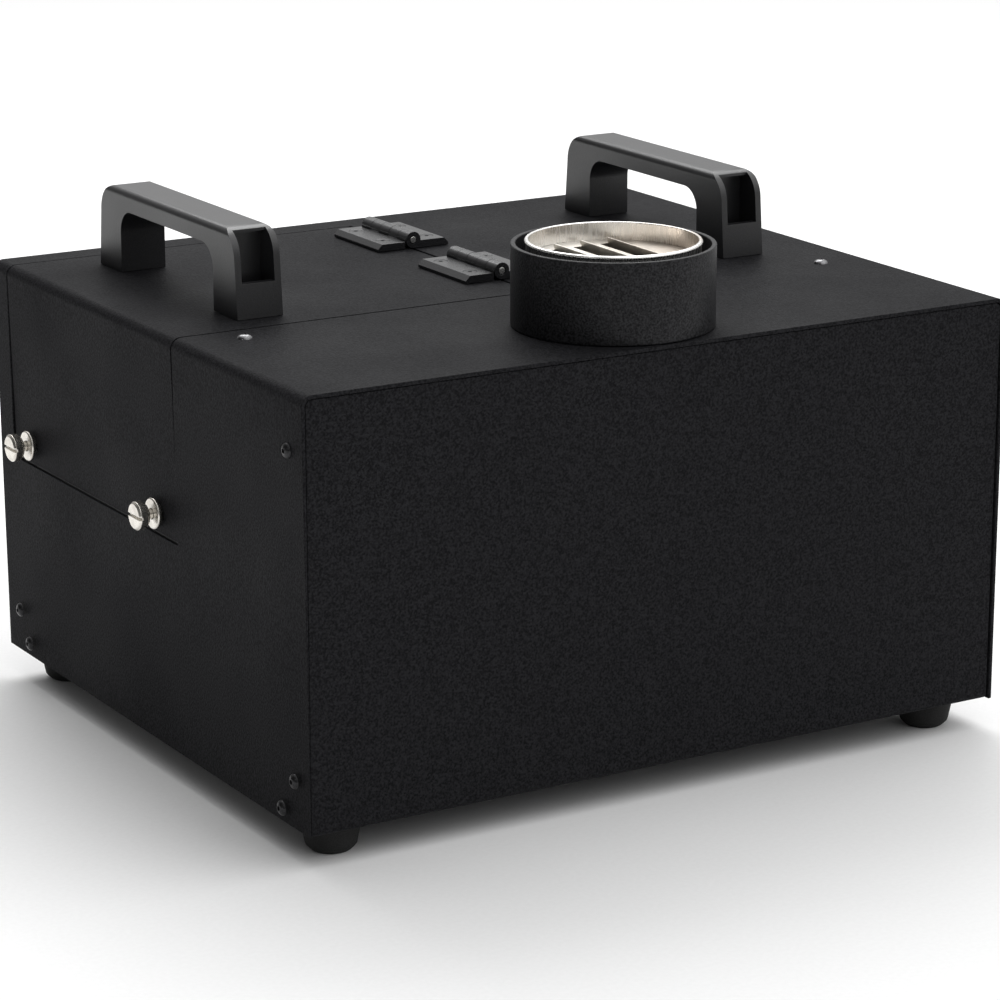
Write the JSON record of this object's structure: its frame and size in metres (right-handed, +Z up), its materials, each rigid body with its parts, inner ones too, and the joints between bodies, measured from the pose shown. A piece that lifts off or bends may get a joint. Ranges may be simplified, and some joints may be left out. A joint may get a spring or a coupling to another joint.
{
  "type": "stage flame machine",
  "caption": "Stage flame machine: sheet-steel case on rubber feet with a round flame outlet on top, a hinged fuel lid held by thumb screws, and two carrying handles.",
  "frame": {"origin": "centre of the bounding box's base, on the plane the feet stand on", "axes": "+X to the right along the wide front, -Y out of the front beside the flame outlet, +Z up; the lid's screws are on the -X side"},
  "size_m": [0.4116, 0.346, 0.2723],
  "materials": {
    "powder_black": "fine textured powder coat, half matt",
    "inner_black": "matt powder coat",
    "moulded_black": "moulded, light grain",
    "cast_black": "die cast, black coated, half gloss",
    "rubber": "matt rubber",
    "stainless": "rolled stainless sheet, heat tinted",
    "nickel": "nickel plate",
    "galvanised": "zinc-coated sheet",
    "brass": "turned brass",
    "copper": "drawn copper tube",
    "aluminium": "milled or drawn aluminium",
    "white_paint": "gloss lacquer, plain",
    "ceramic": "glazed ceramic",
    "coil_black": "cast resin",
    "board": "solder-masked circuit board",
    "lead_red": "silicone sleeve",
    "screen": "gloss display front"
  },
  "bodies": {
    "case": {"base_pan": "powder_black", "rear_panel": "powder_black", "cover": "powder_black", "nozzle_collar": "powder_black", "lid_ledge": "inner_black", "firewall": "galvanised", "bulkhead": "galvanised", "can_bracket": "galvanised", "lid_nut_front": "galvanised", "lid_nut_rear": "galvanised", "foot_front_left": "rubber", "foot_front_right": "rubber", "foot_rear_left": "rubber", "foot_rear_right": "rubber", "nozzle_liner": "stainless", "guard_plate": "stainless", "burner_cup": "stainless", "can_clip": "stainless", "burner_jet": "brass", "valve_body": "brass", "electrode_insulator_left": "ceramic", "electrode_insulator_right": "ceramic", "electrode_left": "nickel", "electrode_right": "nickel", "data_in": "nickel", "hinge_pin_rear": "nickel", "hinge_pin_front": "nickel", "ignition_lead_left": "lead_red", "ignition_lead_right": "lead_red", "handle_right": "moulded_black", "data_out": "moulded_black", "mains_inlet": "moulded_black", "switch_frame": "moulded_black", "fuel_can": "white_paint", "can_dock": "aluminium", "power_supply": "aluminium", "valve_coil": "coil_black", "ignition_transformer": "coil_black", "supply_pipe": "copper", "burner_pipe": "copper", "control_board": "board", "display_panel": "screen", "hinge_leaf_fixed_rear": "cast_black", "hinge_leaf_fixed_front": "cast_black"},
    "lid": {"lid": "powder_black", "handle_left": "moulded_black", "hinge_leaf_lid_rear": "cast_black", "hinge_leaf_lid_front": "cast_black", "screw_ferrule_front": "nickel", "screw_ferrule_rear": "nickel"},
    "front_washer": {"screw_washer_front": "nickel"},
    "front_screw": {"thumb_screw_front": "nickel"},
    "rear_washer": {"screw_washer_rear": "nickel"},
    "rear_screw": {"thumb_screw_rear": "nickel"},
    "rocker": {"switch_rocker": "moulded_black"},
    "latch": {"data_out_latch": "nickel"},
    "key_1": {"menu_key_1": "moulded_black"},
    "key_2": {"menu_key_2": "moulded_black"},
    "key_3": {"menu_key_3": "moulded_black"},
    "key_4": {"menu_key_4": "moulded_black"}
  },
  "joints": [
    {"name": "lid_hinge", "type": "hinge", "parent": "case", "child": "lid", "pos_m": [0.0098, 0.063, 0.2328], "axis": [0, 1, 0], "range_deg": [0, 145]},
    {"name": "front_screw_travel", "type": "slide", "parent": "lid", "child": "front_washer", "axis": [1, 0, 0], "range_m": [0, 0.0028]},
    {"name": "front_screw_turn", "type": "hinge", "parent": "front_washer", "child": "front_screw", "pos_m": [-0.2002, -0.0175, 0.136], "axis": [1, 0, 0], "range_deg": [0, 1261]},
    {"name": "rear_screw_travel", "type": "slide", "parent": "lid", "child": "rear_washer", "axis": [1, 0, 0], "range_m": [0, 0.0028]},
    {"name": "rear_screw_turn", "type": "hinge", "parent": "rear_washer", "child": "rear_screw", "pos_m": [-0.2002, 0.1335, 0.136], "axis": [1, 0, 0], "range_deg": [0, 1261]},
    {"name": "rocker_pivot", "type": "hinge", "parent": "case", "child": "rocker", "pos_m": [0.1238, 0.1667, 0.068], "axis": [-1, 0, 0], "range_deg": [0, 18]},
    {"name": "latch_press", "type": "slide", "parent": "case", "child": "latch", "axis": [0, 0, -1], "range_m": [0, 0.0012], "stiffness_N_per_m": 300, "springref_m": -0.002},
    {"name": "key_1_press", "type": "slide", "parent": "case", "child": "key_1", "axis": [0, -1, 0], "range_m": [0, 0.0012], "stiffness_N_per_m": 250, "springref_m": -0.002},
    {"name": "key_2_press", "type": "slide", "parent": "case", "child": "key_2", "axis": [0, -1, 0], "range_m": [0, 0.0012], "stiffness_N_per_m": 250, "springref_m": -0.002},
    {"name": "key_3_press", "type": "slide", "parent": "case", "child": "key_3", "axis": [0, -1, 0], "range_m": [0, 0.0012], "stiffness_N_per_m": 250, "springref_m": -0.002},
    {"name": "key_4_press", "type": "slide", "parent": "case", "child": "key_4", "axis": [0, -1, 0], "range_m": [0, 0.0012], "stiffness_N_per_m": 250, "springref_m": -0.002}
  ],
  "couplings": [
    {"joint": "front_screw_turn", "follows": "front_screw_travel", "rad_per_m": 7854},
    {"joint": "rear_screw_turn", "follows": "rear_screw_travel", "rad_per_m": 7854}
  ]
}
